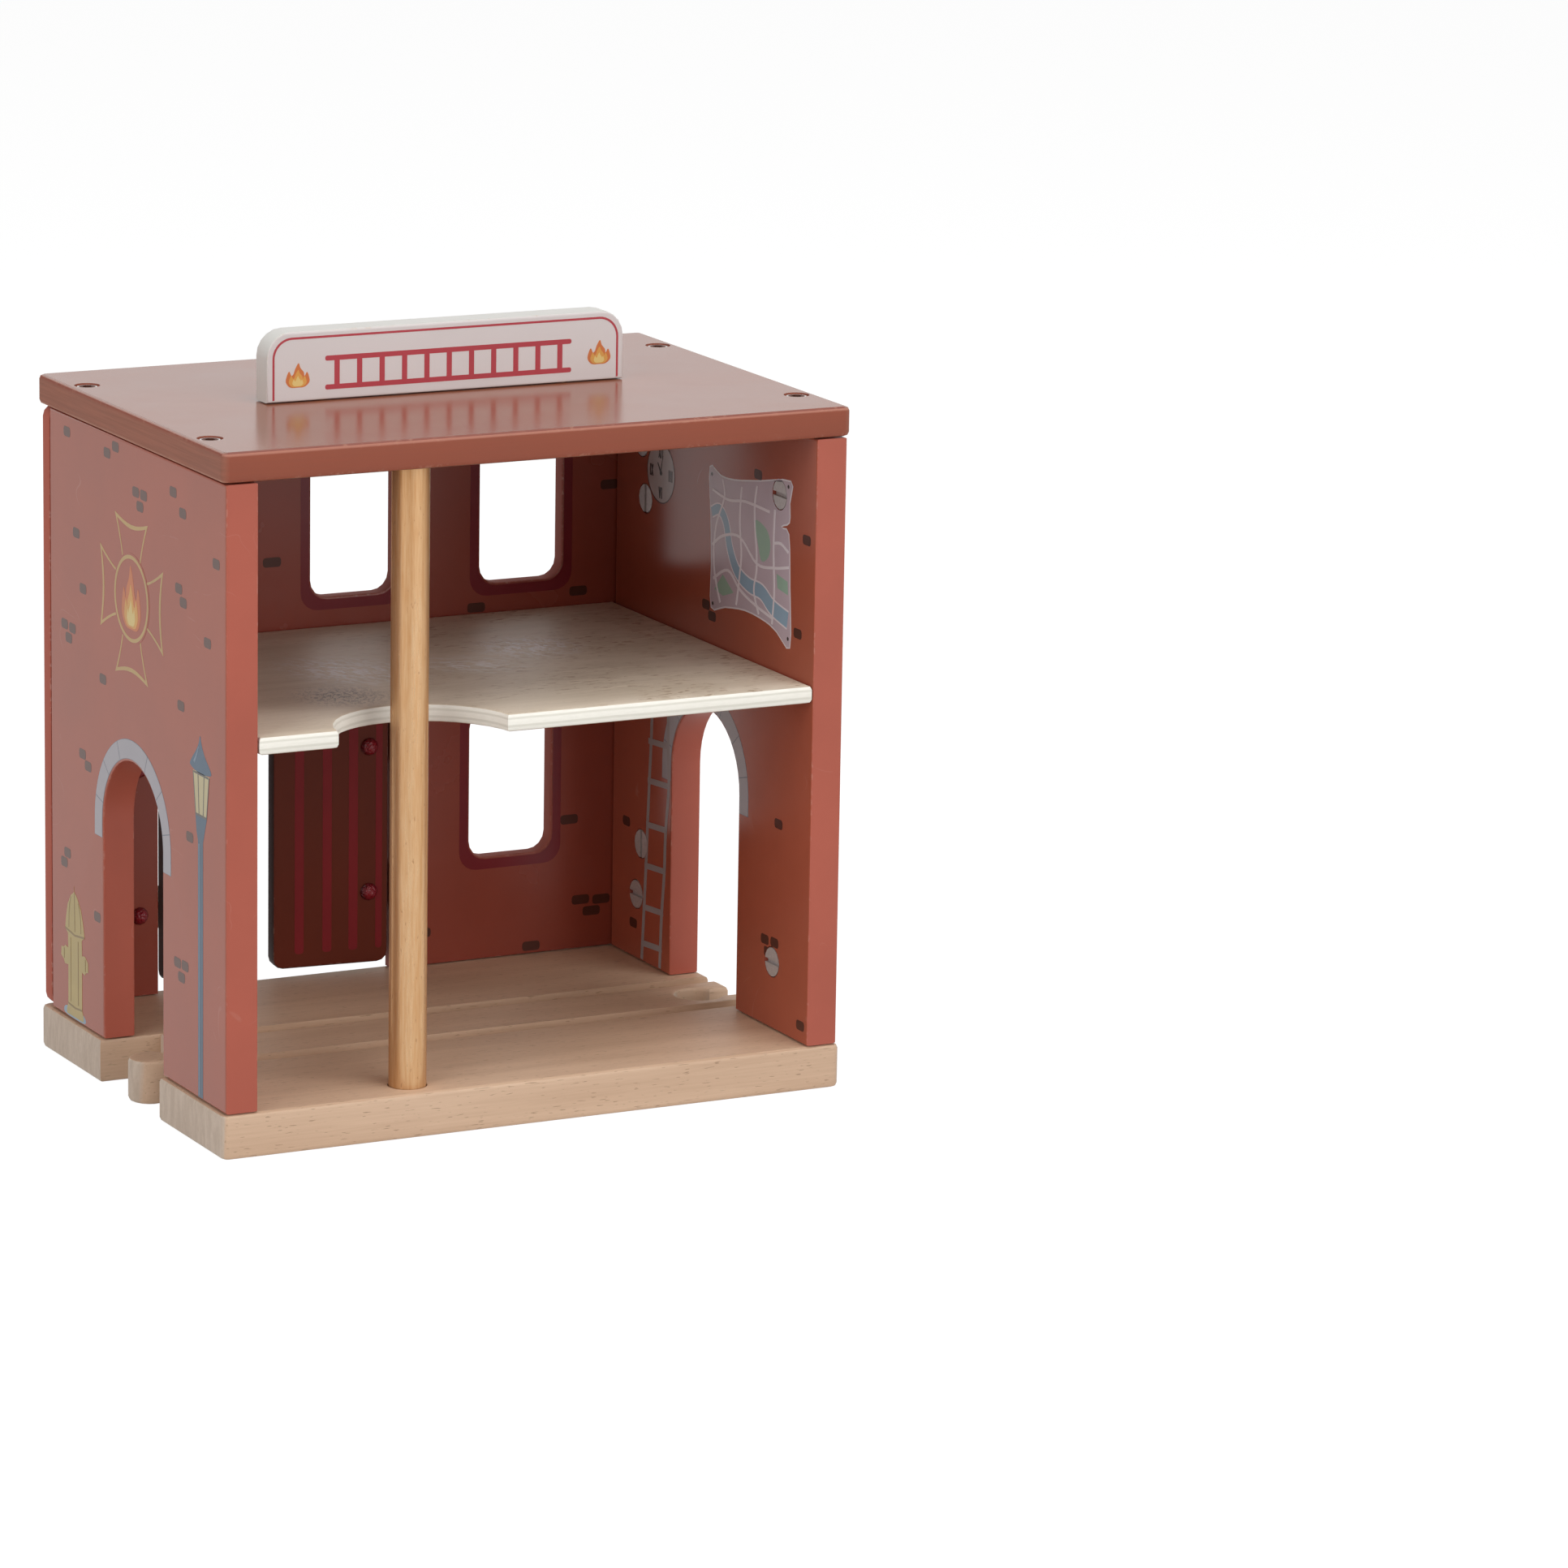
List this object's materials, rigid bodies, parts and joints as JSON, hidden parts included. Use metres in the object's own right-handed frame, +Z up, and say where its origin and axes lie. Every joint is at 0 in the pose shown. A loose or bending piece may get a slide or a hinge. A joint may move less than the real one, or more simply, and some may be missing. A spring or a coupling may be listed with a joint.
{
  "type": "toy fire station",
  "caption": "Wooden toy fire station: painted walls with track arches, upper floor, sliding pole, sign board and hinged rear door leaves on a beech base with railway track.",
  "frame": {"origin": "centre of the base board's underside", "axes": "+X from the left wall to the right wall, +Y from the open front to the back wall, +Z up"},
  "size_m": [0.18, 0.1451, 0.205],
  "materials": {
    "beech": "clear satin",
    "wall_paint": "brick red paint, satin",
    "back_paint": "dark brick red paint, satin",
    "roof_paint": "brick red paint, gloss",
    "door_paint": "dark brown paint with crimson stripes, satin",
    "sign_paint": "white paint, satin",
    "birch_ply": "pale matt",
    "gold_paint": "gold paint",
    "dowel_wood": "bare",
    "dome_paint": "red paint",
    "bright_steel": "bright zinc",
    "hinge_steel": "bright nickel"
  },
  "bodies": {
    "station": {"base": "beech", "left_wall": "wall_paint", "right_wall": "wall_paint", "back_wall": "back_paint", "roof": "roof_paint", "sign_board": "sign_paint", "upper_floor": "birch_ply", "fire_pole": "gold_paint", "left_lower_hinge_wall_plate": "hinge_steel", "left_lower_hinge_pin": "hinge_steel", "left_lower_hinge_wall_rivet": "dome_paint", "left_upper_hinge_wall_plate": "hinge_steel", "left_upper_hinge_pin": "hinge_steel", "left_upper_hinge_wall_rivet": "dome_paint", "right_lower_hinge_wall_plate": "hinge_steel", "right_lower_hinge_pin": "hinge_steel", "right_lower_hinge_wall_rivet": "dome_paint", "right_upper_hinge_wall_plate": "hinge_steel", "right_upper_hinge_pin": "hinge_steel", "right_upper_hinge_wall_rivet": "dome_paint", "base_left_front_bolt": "bright_steel", "base_left_front_nut": "bright_steel", "base_left_rear_bolt": "bright_steel", "base_left_rear_nut": "bright_steel", "roof_left_front_bolt": "bright_steel", "roof_left_front_nut": "bright_steel", "roof_left_rear_bolt": "bright_steel", "roof_left_rear_nut": "bright_steel", "back_left_lower_bolt": "bright_steel", "back_left_lower_nut": "bright_steel", "back_left_upper_bolt": "bright_steel", "back_left_upper_nut": "bright_steel", "left_sign_dowel": "dowel_wood", "left_front_floor_pin": "bright_steel", "left_rear_floor_pin": "bright_steel", "base_right_front_bolt": "bright_steel", "base_right_front_nut": "bright_steel", "base_right_rear_bolt": "bright_steel", "base_right_rear_nut": "bright_steel", "roof_right_front_bolt": "bright_steel", "roof_right_front_nut": "bright_steel", "roof_right_rear_bolt": "bright_steel", "roof_right_rear_nut": "bright_steel", "back_right_lower_bolt": "bright_steel", "back_right_lower_nut": "bright_steel", "back_right_upper_bolt": "bright_steel", "back_right_upper_nut": "bright_steel", "right_sign_dowel": "dowel_wood", "right_front_floor_pin": "bright_steel", "right_rear_floor_pin": "bright_steel"},
    "left_leaf": {"left_door": "door_paint", "left_lower_hinge_door_plate": "hinge_steel", "left_lower_hinge_door_rivet": "dome_paint", "left_upper_hinge_door_plate": "hinge_steel", "left_upper_hinge_door_rivet": "dome_paint"},
    "right_leaf": {"right_door": "door_paint", "right_lower_hinge_door_plate": "hinge_steel", "right_lower_hinge_door_rivet": "dome_paint", "right_upper_hinge_door_plate": "hinge_steel", "right_upper_hinge_door_rivet": "dome_paint"}
  },
  "joints": [
    {"name": "left_door_hinge", "type": "hinge", "parent": "station", "child": "left_leaf", "pos_m": [-0.05725, 0.0648, 0.0556], "axis": [0, 0, 1], "range_deg": [-35, 130]},
    {"name": "right_door_hinge", "type": "hinge", "parent": "station", "child": "right_leaf", "pos_m": [0.01205, 0.0648, 0.0556], "axis": [0, 0, 1], "range_deg": [-160, 5]}
  ]
}
